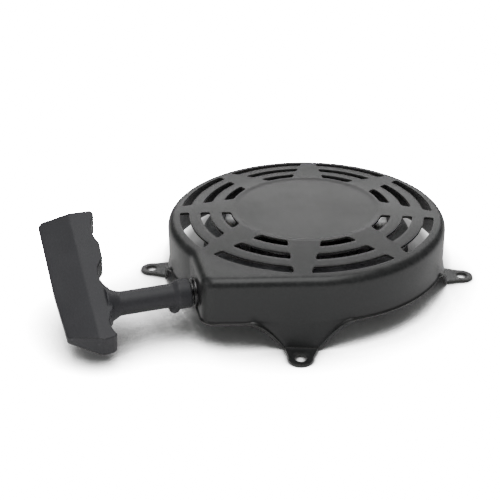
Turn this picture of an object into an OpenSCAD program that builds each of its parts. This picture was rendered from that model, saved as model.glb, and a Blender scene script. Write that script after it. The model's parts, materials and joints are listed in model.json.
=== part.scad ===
// Recoil starter of a small engine: a pressed steel housing on four feet, with a rope reel,
// its rewind spring and its two pawls inside, and a T grip on the end of the rope.
// Millimetres. Z is the reel's axis and Z = 0 the mounting plane. The origin is the centre
// of the bolt circle. The four feet lie on the X and Y axes, and the rope leaves towards -X.

/* [Housing] */
// thickness of the pressed sheet
sheet = 1.4; // [1:0.1:2]
// free space between the reel's flanges and the housing's outer face
air_gap = 21.5; // [18:0.1:30]
// height of the wall's bottom edge above the mounting plane
wall_z = 16; // [13:0.5:19]
// radius of the shoulder between wall and top
shoulder_r = 5.5; // [4:0.5:7]
// height of the domed top above the shoulder
dome_h = 3.8; // [2:0.1:6]
// depth of the shallow round recess in the middle of the top
recess_d = 0.5; // [0.2:0.1:1]
// radius of the round recess
recess_r = 42.5; // [36:0.5:44]
// how far the small lip stands out along the wall's bottom edge
lip = 1.1; // [0.6:0.1:1.6]

/* [Vent] */
// number of spokes between the vent slots
spokes = 8; // [6:1:10]
// number of slot rings
rings = 3; // [2:1:3]
// width of each slot ring
slot_w = 5.8; // [4.5:0.1:7]
// distance from one slot ring to the next
ring_pitch = 12.8; // [10.5:0.1:15]
// distance from the housing's edge to the outermost slot ring
vent_edge = 7.5; // [6.5:0.1:10]
// half width of a spoke at the innermost ring
spoke_in = 10; // [7:0.1:12]
// half width of a spoke at the outermost ring
spoke_out = 4.7; // [3:0.1:6]

/* [Feet] */
// distance of the bolt holes from the housing's outer face
bolt_reach = 13.5; // [12:0.5:20]
// diameter of the bolt holes
bolt_hole = 6.8; // [5:0.1:8]
// half width of a foot, which is also the radius of its round end
foot_w = 6.8; // [6:0.1:9]
// distance of a foot's fold from the housing's outer face
fold_reach = 6; // [4.5:0.1:7.5]
// angle from a foot to where its flared leg runs out in the wall
leg_angle = 27; // [22:1:32]

/* [Rope exit] */
// direction that the flat exit face looks in
exit_az = 197; // [190:1:202]
// how far the exit face lies inside the round wall's radius
exit_in = 7; // [5:0.5:10]
// direction of the outward normal of the straight wall beside the exit
front_az = 275; // [270:1:280]
// radius of the upright corner between the straight wall and the exit face
corner_r = 9; // [7:0.5:12]
// diameter of the eyelet's outer flange
eyelet_d = 17.4; // [14:0.1:19]
// thickness of the eyelet's outer flange
eyelet_t = 2.2; // [1.5:0.1:3]

/* [Rope] */
// diameter of the rope
rope_d = 4; // [3:0.1:4.5]
// layers of rope on the reel
layers = 3; // [2:1:3]
// direction in which the rope runs from the reel to the eyelet
rope_az = 186; // [184:0.5:190]

/* [Reel] */
// height of the reel's lower flange above the mounting plane
reel_z = 19.2; // [18.5:0.1:23]
// free height between the spring's cover plate and the centre post's flange
top_gap = 3.6; // [2:0.1:6]
// thickness of the reel's flanges and of its web
flange_t = 2; // [1.5:0.1:3]
// inner radius of the spring chamber
chamber_r = 46; // [40:0.5:52]
// wall between the spring chamber and the rope
core_t = 4; // [3.5:0.1:6]
// radius of the centre post where the reel turns on it
post_r = 7; // [6:0.1:8]
// radius of the reel's hub
hub_r = 11; // [10.2:0.1:13]

/* [Rewind spring] */
// height of the spring strip
strip_h = 7.6; // [6:0.1:9.5]
// thickness of the spring strip
strip_t = 0.6; // [0.4:0.05:0.8]
// turns of the spring at rest
strip_turns = 11; // [8:1:14]
// thickness of the spring's cover plate
cover_t = 0.8; // [0.6:0.1:1.2]

/* [Pawls] */
// distance of the pawl pins from the axis
pawl_reach = 23; // [21:0.1:26]
// thickness of a pawl
pawl_t = 3.4; // [2.8:0.1:4]
// length of a pawl from its pin to its tip
pawl_len = 24; // [20:0.1:28]
// radius of the pawl pins
pin_r = 2.5; // [2:0.1:3]
// angle through which a pawl swings out
pawl_swing = 30; // [22:1:35]
// angle that the friction plate turns meanwhile
plate_turn = 25; // [18:1:32]
// radius of the friction plate
plate_r = 32; // [31:0.5:36]
// thickness of the friction plate
plate_t = 1.6; // [1.2:0.1:2.2]

/* [Grip] */
// direction in which the grip is pulled
grip_az = 201; // [195:1:206]
// angle by which the crossbar is rolled about the stem, from lying flat
grip_roll = 24; // [0:1:40]
// distance from the eyelet to the crossbar's outer face
grip_d = 80; // [70:1:95]
// length of the crossbar on its long side of the stem
bar_long = 65; // [50:1:70]
// length of the crossbar on its short side of the stem
bar_short = 27.5; // [26:0.5:40]
// depth of the crossbar, from its fingers side to its outer face
bar_depth = 31; // [28:0.1:36]
// thickness of the crossbar
bar_t = 16; // [13:0.5:20]
// diameter of the stem
stem_d = 13.8; // [13:0.1:17]

/* [Fits] */
// running clearance, on the radius, of what turns on a pin or post
run_fit = 0.05; // [0.03:0.01:0.1]
// gap between pieces that pass each other
gap = 0.3; // [0.25:0.05:0.4]

/* [Hidden] */
$fn = 96;

// colours
paint = [0.10, 0.10, 0.10];
nylon = [0.06, 0.06, 0.065];
grip_grey = [0.20, 0.20, 0.215];
steel = [0.62, 0.62, 0.60];
zinc = [0.72, 0.72, 0.70];
rope_black = [0.09, 0.09, 0.09];

// heights of the reel, from its lower flange up
groove_z = reel_z + flange_t;
groove_w = 2 * rope_d + 2 * gap;
rope_z = groove_z + gap + rope_d / 2;
upper_z = groove_z + groove_w;
chamber_z = upper_z + flange_t - gap * 4;
rim_z = chamber_z + strip_h + 2 * gap;
cover_z = rim_z + cover_t;

// radii of the reel, from its chamber out
core_r = chamber_r + core_t;
turn_pitch = rope_d - 0.05;
wind_r = core_r + gap / 3 + rope_d / 2 + (layers - 1) * turn_pitch;
flange_r = wind_r + rope_d / 2 + 2;

// housing
pan_r = flange_r + air_gap;
post_flange_t = 2;
under_z = cover_z + post_flange_t + top_gap;
recess_z = under_z + sheet;
crest_z = recess_z + recess_d;
shoulder_z = crest_z - dome_h;
bend_z = shoulder_z - shoulder_r;
crest_r = recess_r + 3.3;
vent_r = pan_r - vent_edge;
bolt_r = pan_r + bolt_reach;
fold_r = pan_r + fold_reach;
foot_t = sheet;

// the exit face, and the corner that joins it to the straight wall
exit_d = pan_r - exit_in;
exit_u = [cos(exit_az), sin(exit_az)];
exit_n = [-sin(exit_az), cos(exit_az)];
front_u = [cos(front_az), sin(front_az)];
turn_a = front_az - exit_az;
// the straight wall lies this much inside the tangent, and the corner stands this much proud
front_in = 0.1;
tuck = 0.03;
front_d = pan_r - front_in;
corner_t = ((front_d - corner_r) - (exit_d - corner_r) * cos(turn_a)) / sin(turn_a);
corner_c = exit_u * (exit_d - corner_r) + exit_n * corner_t;
front_run = -corner_c * [-sin(front_az), cos(front_az)];
exit_run = corner_t - exit_d * 0.25;
snout_depth = 60;
// the snout's bodies stand in small steps, so that no two of their faces fall together
step_z = 0.04;
snout_z = shoulder_z - 0.2;
// how much of the straight wall the front leg takes
leg_run = 26;

// the rope leaves the outer layer along a tangent and meets the exit face at the eyelet
eyelet_s = (wind_r - exit_d * sin(exit_az - rope_az)) / cos(exit_az - rope_az);
eyelet_p = exit_u * exit_d + exit_n * eyelet_s;
leave_a = rope_az + 90;
rope_bore = rope_d / 2 + 0.7;

// the drive under the reel, from the hub down
pawl_z = reel_z - gap - pawl_t;
plate_z = pawl_z - 2 * gap - plate_t;
washer_t = 0.5;
hub_z = plate_z + plate_t + washer_t + 0.2;
post_z = plate_z + plate_t + 0.4;
screw_r = 5;
head_r = 8;
head_z = plate_z - 1.1;
thread_r = 3;
pawl_in = 105;
peg_r = 1.5;
peg_reach = pawl_len / 2;
pawl_boss = 4.6;
post_step = hub_r - 2;

// the grip, along its own stem
nose_d = eyelet_t + 1;
nose_r = 8.6;
finger_d = grip_d - bar_depth;
ridge_w = 2.6;
roof_d = 20;
pocket_d = grip_d - 21;

// ---------------------------------------------------------------- small helpers

// a ring, from radius r1 to r2 and from height z1 to z2
module ring(r1, r2, z1, z2) {
  translate([0, 0, z1]) {
    difference() {
      cylinder(r = r2, h = z2 - z1);
      translate([0, 0, -1]) cylinder(r = r1, h = z2 - z1 + 2);
    }
  }
}

// a level round bar from p to q, two points of the plan, at height z
module level_bar(p, q, z, r) {
  run = q - p;
  translate([p[0], p[1], z]) {
    rotate([0, 0, atan2(run[1], run[0])]) rotate([0, 90, 0]) cylinder(r = r, h = norm(run));
  }
}

// puts a piece on the exit face at the eyelet, with its own Z pointing out
module at_eyelet() {
  translate([eyelet_p[0], eyelet_p[1], rope_z]) {
    rotate([0, 0, exit_az]) rotate([0, 90, 0]) children();
  }
}

// the grip's frame: X along the stem, Y along the crossbar's long side, Z through it
module at_grip() {
  translate([eyelet_p[0], eyelet_p[1], rope_z]) {
    rotate([0, 0, grip_az]) rotate([180 - grip_roll, 0, 0]) children();
  }
}

// ---------------------------------------------------------------- housing

// the curve over the shoulder, as points: d is the wall's outer face, top the flat above it
function shoulder_arc(d, top, i) = [for (k = [0 : 6])
  [d - shoulder_r + (shoulder_r - i) * cos(15 * k), top - shoulder_r + (shoulder_r - i) * sin(15 * k)]];

// the foot of the wall's outer face, with the lip along its bottom edge
function lip_points(d) = [[d + lip, wall_z], [d + lip, wall_z + lip], [d, wall_z + lip]];

// the wall's face and shoulder, of the outside (i = 0) or of the inside (i = sheet)
function wall_points(d, top, i) = concat(
  i == 0 ? lip_points(d) : [[d - i, wall_z - 1]], shoulder_arc(d, top, i));

// the round part as a solid, or with i = sheet the hollow in it
module round_body(i) {
  edge_r = pan_r - shoulder_r;
  mid_r = (crest_r + edge_r) / 2;
  foot_z = i == 0 ? wall_z : wall_z - 1;
  rotate_extrude($fn = 180) {
    polygon(concat([[0, foot_z]], wall_points(pan_r, shoulder_z, i),
                   [[mid_r, crest_z - dome_h * 0.4 - i], [crest_r, crest_z - i],
                    [recess_r, recess_z - i], [0, recess_z - i]]));
  }
}

// a straight piece of wall with the snout's top behind it, along +Y from 0 to run
module straight_body(d, run, depth, i) {
  foot_z = i == 0 ? wall_z : wall_z - 1;
  translate([0, run, 0]) rotate([90, 0, 0]) linear_extrude(run) {
    polygon(concat([[d - depth, foot_z]], wall_points(d, snout_z, i),
                   [[d - depth, snout_z - i]]));
  }
}

// the snout: straight front wall, upright corner and flat exit face
module snout_body(i) {
  foot_z = i == 0 ? wall_z : wall_z - 1;
  rotate([0, 0, front_az]) {
    translate([0, -front_run - 0.3, step_z]) {
      straight_body(front_d, front_run + 0.8, snout_depth, i);
    }
  }
  rotate([0, 0, exit_az]) {
    translate([0, corner_t - exit_run, 3 * step_z]) {
      straight_body(exit_d, exit_run + 0.3, snout_depth, i);
    }
  }
  translate([corner_c[0], corner_c[1], 2 * step_z]) rotate_extrude() {
    polygon(concat([[0, foot_z]], wall_points(corner_r + tuck, snout_z, i),
                   [[0, snout_z - i]]));
  }
}

// one spoke of the star that is left between the slots
module spoke() {
  r1 = vent_r - (rings - 1) * ring_pitch - slot_w - 1;
  polygon([[r1, -spoke_in], [vent_r + 1, -spoke_out], [vent_r + 1, spoke_out],
           [r1, spoke_in]]);
}

// plan of all vent slots: rings less the star
module vent_plan() {
  difference() {
    for (k = [0 : rings - 1]) {
      difference() {
        circle(r = vent_r - k * ring_pitch, $fn = 180);
        circle(r = vent_r - k * ring_pitch - slot_w, $fn = 180);
      }
    }
    for (k = [0 : spokes - 1]) {
      rotate(k * 360 / spokes) spoke();
    }
  }
}

// section of the flared legs: a strip of sheet from inside the wall down to the fold
module leg_section() {
  out_r = pan_r - 0.1;
  in_r = pan_r - 0.8 * sheet;
  top_z = wall_z - 0.05;
  polygon([[in_r, wall_z + 1.5], [out_r, wall_z + 1.5], [out_r, top_z],
           [fold_r + 0.6, foot_t], [fold_r + 0.6, 0], [fold_r - sheet, 0], [in_r, top_z]]);
}

// plan of one leg: its sides leave the round wall as tangents and meet at the foot
module leg_plan() {
  side_r = (pan_r - foot_w * sin(leg_angle)) / cos(leg_angle);
  polygon([[pan_r * 0.7, 0], [pan_r * cos(leg_angle), -pan_r * sin(leg_angle)],
           [side_r, -foot_w], [fold_r + 1, -foot_w], [fold_r + 1, foot_w],
           [side_r, foot_w], [pan_r * cos(leg_angle), pan_r * sin(leg_angle)]]);
}

// plan of what the front leg adds beside the straight wall
module front_leg_plan() {
  side_r = (pan_r - foot_w * sin(leg_angle)) / cos(leg_angle);
  polygon([[pan_r * 0.7, 0], [pan_r - 3, -leg_run], [pan_r + 2.4, -leg_run],
           [side_r, -foot_w], [side_r, foot_w * 2], [pan_r * 0.7, foot_w * 2]]);
}

// a foot's flat pad with its round end
module pad() {
  linear_extrude(foot_t) {
    translate([fold_r - sheet / 2, -foot_w]) square([bolt_r - fold_r + sheet / 2, 2 * foot_w]);
    translate([bolt_r, 0]) circle(r = foot_w);
  }
}

// one foot with its flared leg, at azimuth 0
module foot() {
  intersection() {
    rotate_extrude($fn = 180) leg_section();
    translate([0, 0, -1]) linear_extrude(wall_z + 4) leg_plan();
  }
  pad();
}

// the front foot, whose leg runs out on the straight wall on its left
module front_foot() {
  rotate([0, 0, 270]) pad();
  intersection() {
    rotate([0, 0, front_az]) rotate_extrude(angle = 90, $fn = 180) leg_section();
    rotate([0, 0, 270]) translate([0, 0, -1]) linear_extrude(wall_z + 4) leg_plan();
  }
  intersection() {
    rotate([0, 0, front_az]) translate([-front_in, 0.5, 0]) rotate([90, 0, 0]) {
      linear_extrude(front_run) leg_section();
    }
    rotate([0, 0, 270]) translate([0, 0, -1]) linear_extrude(wall_z + 4) front_leg_plan();
  }
}

module housing() {
  color(paint)
  difference() {
    union() {
      difference() {
        union() {
          round_body(0);
          snout_body(0);
        }
        union() {
          round_body(sheet);
          snout_body(sheet);
        }
        translate([0, 0, bend_z]) linear_extrude(crest_z) vent_plan();
      }
      for (k = [0 : 2]) {
        rotate([0, 0, 90 * k]) foot();
      }
      front_foot();
    }
    at_eyelet() translate([0, 0, -5]) cylinder(r = rope_bore + 2, h = 10);
    at_eyelet() translate([0, 0, -0.02]) cylinder(r = eyelet_d / 2 + 0.1, h = lip + 2);
    for (k = [0 : 3]) {
      rotate([0, 0, 90 * k]) translate([bolt_r, 0, -1]) cylinder(d = bolt_hole, h = foot_t + 2);
    }
  }
}

// flanged metal eyelet, rolled over both faces of the sheet
module rope_eyelet() {
  flange = eyelet_d / 2;
  bore = rope_bore;
  color(steel)
  at_eyelet() rotate_extrude() {
    difference() {
      union() {
        translate([bore, -sheet - 1]) square([2 - run_fit, sheet + 1 + eyelet_t]);
        translate([bore, 0]) square([flange - bore - eyelet_t / 2, eyelet_t]);
        intersection() {
          translate([flange - eyelet_t, 0]) circle(r = eyelet_t);
          translate([bore, 0]) square([flange, eyelet_t]);
        }
        translate([bore, -sheet - 1.1]) square([flange - bore - 1.5, 1.1]);
      }
      translate([bore, eyelet_t + 0.4]) circle(r = 1.6);
    }
  }
}

// ---------------------------------------------------------------- centre

// centre post, welded under the housing's top; the reel turns on its lower part
module center_post() {
  color(steel)
  difference() {
    union() {
      translate([0, 0, under_z - post_flange_t]) cylinder(r = post_step + 4, h = post_flange_t);
      translate([0, 0, chamber_z + gap]) cylinder(r = post_step, h = under_z - chamber_z - gap);
      translate([0, 0, post_z]) cylinder(r = post_r, h = under_z - post_z - 1);
    }
    translate([0, 0, post_z - 1]) cylinder(r = thread_r, h = 19);
    translate([0, -0.7, chamber_z + gap - 0.1]) cube([post_step + 1, 1.4, strip_h + 3 * gap]);
  }
}

// shouldered centre screw: its shoulder carries the friction plate
module center_screw() {
  color(zinc)
  difference() {
    union() {
      translate([0, 0, head_z]) cylinder(r = screw_r, h = post_z - head_z);
      translate([0, 0, post_z - 0.1]) cylinder(r = thread_r, h = 16);
      translate([0, 0, head_z - 1.3]) cylinder(r = head_r, h = 1.3);
      translate([0, 0, head_z - 5.2]) cylinder(r = 5.8, h = 4, $fn = 6);
    }
    translate([0, 0, head_z - 6]) cylinder(r = 2.2, h = 2.4);
  }
}

// ---------------------------------------------------------------- reel

// the reel's own section, turned about the axis
module reel_section() {
  polygon([[post_r + run_fit, hub_z], [hub_r, hub_z], [hub_r, chamber_z - flange_t],
           [chamber_r, chamber_z - flange_t], [chamber_r, reel_z], [flange_r, reel_z],
           [flange_r, groove_z], [core_r, groove_z], [core_r, upper_z], [flange_r, upper_z],
           [flange_r, upper_z + flange_t], [core_r - 1, upper_z + flange_t],
           [core_r - 1, rim_z], [chamber_r, rim_z], [chamber_r, chamber_z],
           [post_r + run_fit, chamber_z]]);
}

// azimuth of the hole through which the rope's inner end is knotted
knot_a = 135;
rib_count = 8;
rim_hooks = 0;

module reel() {
  color(nylon)
  difference() {
    union() {
      rotate_extrude($fn = 180) reel_section();
      for (k = [0 : rib_count - 1]) {
        rotate([0, 0, 22.5 + k * 360 / rib_count]) {
          translate([hub_r - 1, -0.8, reel_z + 1]) {
            cube([chamber_r - hub_r + 2, 1.6, chamber_z - flange_t - reel_z]);
          }
        }
      }
      for (k = [0, 1]) {
        rotate([0, 0, 180 * k]) translate([pawl_reach, 0, reel_z]) {
          cylinder(r = 6.4, h = chamber_z - flange_t - reel_z + 1);
        }
      }
    }
    for (k = [0, 1]) {
      rotate([0, 0, 180 * k]) translate([pawl_reach, 0, reel_z - 1]) cylinder(r = pin_r, h = 8);
    }
    rotate([0, 0, knot_a]) translate([chamber_r - 6, 0, rope_z]) rotate([0, 90, 0]) {
      cylinder(r = rope_d / 2 + 0.2, h = 12);
    }
    rotate([0, 0, rim_hooks]) translate([chamber_r - 1, -0.9, chamber_z]) {
      cube([2.4, 1.8, strip_h + gap]);
    }
  }
}

// a spiral strip: radius at turn angle a
function strip_r(a) = post_step + 1 + (chamber_r - post_step - 2) * pow(a / (360 * strip_turns), 0.8);

module rewind_spring() {
  step = 12;
  last = 360 * strip_turns;
  outer = [for (a = [0 : step : last]) (strip_r(a) + strip_t / 2) * [cos(a), sin(a)]];
  inner = [for (a = [last : -step : 0]) (strip_r(a) - strip_t / 2) * [cos(a), sin(a)]];
  color(steel)
  translate([0, 0, chamber_z + gap]) linear_extrude(strip_h) {
    polygon(concat(outer, inner));
    translate([post_step - 2.2, -strip_t / 2]) square([3.2, strip_t]);
  }
}

// thin plate that keeps the spring in its chamber, with tabs over the rim
module spring_cover() {
  color(zinc) {
    ring(post_step + 3, core_r - 1 + gap / 2 + 0.8, rim_z, cover_z);
    for (k = [0 : 3]) {
      rotate([0, 0, 45 + 90 * k]) intersection() {
        ring(core_r - 1 + gap / 2, core_r - 1 + gap / 2 + 0.8, rim_z - 4, cover_z);
        translate([0, -5, rim_z - 4]) cube([core_r + 3, 10, 6]);
      }
    }
  }
}

// ---------------------------------------------------------------- rope

// the turns on the reel; the last one stops where the rope leaves it
module rope_winding() {
  color(rope_black) {
    rotate_extrude($fn = 120) {
      for (k = [0 : layers - 1]) {
        translate([wind_r - k * turn_pitch, rope_z + rope_d - 0.05]) {
          circle(d = rope_d, $fn = 32);
        }
      }
      for (k = [1 : layers - 1]) {
        translate([wind_r - k * turn_pitch, rope_z]) circle(d = rope_d, $fn = 32);
      }
    }
    rotate([0, 0, leave_a + 1]) rotate_extrude(angle = 330, $fn = 120) {
      translate([wind_r, rope_z]) circle(d = rope_d, $fn = 32);
    }
  }
}

// the rope's inner end, with its knot inside the reel
module reel_knot() {
  color(rope_black)
  rotate([0, 0, knot_a]) {
    translate([chamber_r - 4.6, 0, rope_z]) sphere(r = 4.1, $fn = 40);
    translate([chamber_r - 4.6, 0, rope_z]) rotate([0, 90, 0]) {
      cylinder(d = rope_d, h = core_t + 4.6, $fn = 32);
    }
  }
}

// the straight rope, pulled a little thinner, from the reel through the eyelet to the grip
module rope_lead() {
  inner_d = rope_d - 0.6;
  outer_d = rope_d - 0.2;
  start = (wind_r + gap) * [cos(leave_a), sin(leave_a)];
  color(rope_black) {
    level_bar(start, eyelet_p, rope_z, inner_d / 2);
    at_grip() translate([-1, 0, 0]) rotate([0, 90, 0]) cylinder(d = outer_d, h = pocket_d + 1.7);
  }
}

// ---------------------------------------------------------------- pawls and friction plate

// a steel pin, pressed into the reel
module pawl_pin(side) {
  color(steel)
  rotate([0, 0, 180 * side]) translate([pawl_reach, 0, pawl_z - 0.2]) {
    cylinder(r = pin_r, h = reel_z - pawl_z + 7);
  }
}

module pawl_pin_1() {
  pawl_pin(0);
}

module pawl_pin_2() {
  pawl_pin(1);
}

// a pawl, drawn along its own X from its pin; the hook at its tip is on the outer side
module pawl_body() {
  difference() {
    union() {
      linear_extrude(pawl_t) {
        circle(r = pawl_boss);
        polygon([[0, -pawl_boss], [pawl_len * 0.55, -3.2], [pawl_len, -2.2],
                 [pawl_len + 0.6, 4.2], [pawl_len - 2.2, 4.6], [pawl_len * 0.6, 2.4],
                 [0, pawl_boss]]);
      }
      translate([peg_reach, 0, -2 * gap - plate_t - 0.8]) {
        cylinder(r = peg_r, h = 2 * gap + plate_t + 1.8, $fn = 48);
      }
    }
    translate([0, 0, -1]) cylinder(r = pin_r + run_fit, h = pawl_t + 2);
  }
}

module pawl(side) {
  color(steel)
  rotate([0, 0, 180 * side]) translate([pawl_reach, 0, pawl_z]) rotate([0, 0, -pawl_in]) {
    pawl_body();
  }
}

module pawl_1() {
  pawl(0);
}

module pawl_2() {
  pawl(1);
}

// where a pawl's peg stands in the plate when the pawl has swung by a share s of its travel
function peg_x(s) = pawl_reach + peg_reach * cos(-pawl_in + pawl_swing * s);
function peg_y(s) = peg_reach * sin(-pawl_in + pawl_swing * s);
function peg_a(s) = atan2(peg_y(s), peg_x(s)) - plate_turn * s;
function peg_d(s) = norm([peg_x(s), peg_y(s)]);

// friction plate: the two cam slots drive the pegs outwards as it turns
module friction_plate() {
  color(zinc)
  translate([0, 0, plate_z]) linear_extrude(plate_t) {
    difference() {
      circle(r = plate_r);
      circle(r = screw_r + run_fit);
      for (k = [0, 1]) {
        rotate(180 * k) {
          for (s = [-0.04 : 0.08 : 1.05]) {
            rotate(peg_a(s)) translate([peg_d(s), 0]) circle(r = peg_r + gap, $fn = 32);
          }
          rotate(35) translate([plate_r * 0.62, 0]) circle(r = 5);
          rotate(82) translate([plate_r * 0.62, 0]) circle(r = 5);
        }
      }
    }
  }
}

// coned spring washer that presses the friction plate against the hub
module friction_spring() {
  low = head_z + 0.05;
  high = plate_z - 0.05;
  color(steel)
  rotate_extrude() {
    polygon([[screw_r + 0.2, low], [screw_r + 0.8, low], [head_r + 1.6, high - 0.5],
             [head_r + 1.6, high], [head_r + 1, high], [screw_r + 0.2, low + 0.5]]);
  }
}

// fibre washer between the hub and the friction plate
module brake_washer() {
  color([0.42, 0.28, 0.18]) ring(post_r + gap, hub_r, hub_z - washer_t - 0.1, hub_z - 0.1);
}

// ---------------------------------------------------------------- grip

// outline of the crossbar seen through its thickness, with its finger hollows
module bar_plan() {
  lean = 4;
  difference() {
    polygon([[grip_d, bar_long - 2], [grip_d - 2, bar_long], [finger_d, bar_long],
             [finger_d - 1.5, bar_long - 2], [finger_d, 3 - bar_short], [finger_d + 2, 1 - bar_short],
             [finger_d + 8, -bar_short], [grip_d - lean, -bar_short + 8.5],
             [grip_d - lean / 3, bar_long * 0.2]]);
    translate([finger_d - 12.4, 17]) circle(r = 16);
    translate([finger_d - 18.4, 50]) circle(r = 20);
    translate([finger_d - 11.4, -bar_short * 0.62]) circle(r = 14.5);
  }
}

// section of the crossbar: flat sides and an outer face like a low roof
module bar_roof() {
  half = bar_t / 2;
  polygon([[0, -half], [grip_d - roof_d, -half], [grip_d + 1, -ridge_w / 2],
           [grip_d + 1, ridge_w / 2], [grip_d - roof_d, half], [0, half]]);
}

module grip() {
  half = bar_t / 2;
  stem_end = finger_d + 8;
  color(grip_grey)
  at_grip() difference() {
    union() {
      intersection() {
        translate([0, 0, -half]) linear_extrude(bar_t) bar_plan();
        rotate([0, 0, -1.5]) translate([0, bar_long + 20, 0]) rotate([90, 0, 0]) {
          linear_extrude(bar_long + bar_short + 40) bar_roof();
        }
      }
      translate([nose_d, 0, 0]) rotate([0, 90, 0]) cylinder(d = stem_d, h = stem_end - nose_d);
      translate([nose_d, 0, 0]) rotate([0, 90, 0]) cylinder(r = nose_r, h = 7);
      translate([nose_d + 7, 0, 0]) rotate([0, 90, 0]) {
        cylinder(r1 = nose_r, r2 = stem_d / 2, h = 3);
      }
      translate([nose_d + 10, -5.6, 4.9]) sphere(r = 3.2, $fn = 40);
      translate([finger_d - 5, 0, 0]) rotate([0, 90, 0]) {
        cylinder(d1 = stem_d, d2 = bar_t + 5, h = 7);
      }
    }
    translate([0, 0, 0]) rotate([0, 90, 0]) cylinder(d = rope_d + 1, h = pocket_d + 1);
    translate([pocket_d, -5, -4.8]) cube([9.6, 10, half + 6]);
  }
}

// the knot that holds the rope in the grip
module grip_knot() {
  color(rope_black)
  at_grip() {
    translate([pocket_d + 5, 0, 0]) sphere(r = 4, $fn = 40);
  }
}

// ---------------------------------------------------------------- nodes

housing();
rope_eyelet();
center_post();
center_screw();
reel();
rewind_spring();
spring_cover();
rope_winding();
reel_knot();
rope_lead();
pawl_pin_1();
pawl_pin_2();
pawl_1();
pawl_2();
friction_plate();
friction_spring();
brake_washer();
grip();
grip_knot();
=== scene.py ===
# %% [markdown]
# # A pull starter, built around its CAD model
# The CAD model already fixes where everything is and how it moves. This lesson dresses it:
# the pressed steel housing and the moulded grip are modelled again with softer edges, and
# every other part keeps its CAD shape and gets a finish made of shader nodes.

# %% Load the frame
import json
import math

import bmesh
import bpy
from mathutils import Matrix, Vector


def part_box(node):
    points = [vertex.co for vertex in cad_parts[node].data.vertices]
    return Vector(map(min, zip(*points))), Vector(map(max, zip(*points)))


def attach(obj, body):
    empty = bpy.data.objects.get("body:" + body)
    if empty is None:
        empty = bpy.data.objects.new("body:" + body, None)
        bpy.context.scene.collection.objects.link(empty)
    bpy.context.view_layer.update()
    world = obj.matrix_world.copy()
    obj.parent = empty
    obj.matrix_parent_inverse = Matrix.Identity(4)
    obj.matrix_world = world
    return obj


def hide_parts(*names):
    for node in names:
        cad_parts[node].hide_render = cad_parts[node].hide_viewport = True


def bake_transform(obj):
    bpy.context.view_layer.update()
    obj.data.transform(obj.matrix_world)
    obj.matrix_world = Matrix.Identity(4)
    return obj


MM = 0.001
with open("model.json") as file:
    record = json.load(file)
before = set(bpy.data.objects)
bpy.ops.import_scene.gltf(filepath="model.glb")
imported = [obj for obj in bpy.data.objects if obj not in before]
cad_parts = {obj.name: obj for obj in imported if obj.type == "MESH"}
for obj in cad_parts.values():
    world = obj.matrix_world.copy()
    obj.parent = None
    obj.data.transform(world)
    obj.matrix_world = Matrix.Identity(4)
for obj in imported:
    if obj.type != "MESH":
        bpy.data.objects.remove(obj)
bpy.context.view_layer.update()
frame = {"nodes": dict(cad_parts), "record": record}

# %% [markdown]
# ## Camera, floor and light
# The part stands on its four feet on a white table. A long lens keeps it calm, and four large
# soft lights give the wide highlights that show satin paint. The softbox low behind the part
# makes the far spokes pale, because a low view sees it mirrored in the top plate. A white table
# could be lit until it is white, but that would wash out black paint. So the table glows for
# the camera alone, and its shade is painted: an Ambient Occlusion node darkens it close to the
# part, and an oval patch under and behind the housing stands in for the shadow of a tall light.

# %% Camera
scene = bpy.context.scene
eye = Vector((8.4, -551.6, 305.4)) * MM
aim = Vector((-34.8, -2.7, 17.5)) * MM
lens = bpy.data.cameras.new("camera")
lens.lens, lens.sensor_width = 70.8, 36
lens.clip_start, lens.clip_end = 0.01, 20
camera = bpy.data.objects.new("camera", lens)
scene.collection.objects.link(camera)
camera.location = eye
turn = (aim - eye).to_track_quat("-Z", "Y").to_matrix()
camera.rotation_euler = (turn @ Matrix.Rotation(math.radians(-0.84), 3, "Z")).to_euler()
scene.camera = camera


# %% Small node helpers
def node(tree, kind, **values):
    """Adds a shader node; values are its sockets (numbers, colours or links) or its settings."""
    made = tree.nodes.new(kind)
    for name, value in values.items():
        plain = name.replace("_", " ")
        if plain.title() in made.inputs or plain in made.inputs:
            spot = made.inputs[plain.title() if plain.title() in made.inputs else plain]
            if isinstance(value, bpy.types.NodeSocket):
                tree.links.new(value, spot)
            else:
                spot.default_value = value
        else:
            setattr(made, name, value)
    return made


def maths(tree, what, a, b=0.5, clamp=False):
    made = tree.nodes.new("ShaderNodeMath")
    made.operation, made.use_clamp = what, clamp
    for spot, value in zip(made.inputs, (a, b)):
        if isinstance(value, bpy.types.NodeSocket):
            tree.links.new(value, spot)
        else:
            spot.default_value = value
    return made.outputs[0]


def remap(tree, value, low, high, to_low=0.0, to_high=1.0):
    made = tree.nodes.new("ShaderNodeMapRange")
    tree.links.new(value, made.inputs[0])
    for spot, number in zip(list(made.inputs)[1:5], (low, high, to_low, to_high)):
        spot.default_value = number
    return made.outputs[0]


def mix_colour(tree, factor, a, b):
    made = tree.nodes.new("ShaderNodeMix")
    made.data_type = "RGBA"
    for spot, value in ((made.inputs[0], factor), (made.inputs[6], a), (made.inputs[7], b)):
        if isinstance(value, bpy.types.NodeSocket):
            tree.links.new(value, spot)
        else:
            spot.default_value = value
    return made.outputs[2]


# %% Table and lights
def flat_colour(name, colour, roughness):
    made = bpy.data.materials.new(name)
    made.use_nodes = True
    shader = made.node_tree.nodes["Principled BSDF"]
    shader.inputs["Base Color"].default_value = (*colour, 1)
    shader.inputs["Roughness"].default_value = roughness
    return made


def soft_light(name, place, target, width, height, watts):
    lamp = bpy.data.lights.new(name, "AREA")
    lamp.shape, lamp.size, lamp.size_y, lamp.energy = "RECTANGLE", width, height, watts
    made = bpy.data.objects.new(name, lamp)
    scene.collection.objects.link(made)
    made.location = place
    aimed = Vector(target) - Vector(place)
    made.rotation_euler = aimed.to_track_quat("-Z", "Y").to_euler()
    return made


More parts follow.
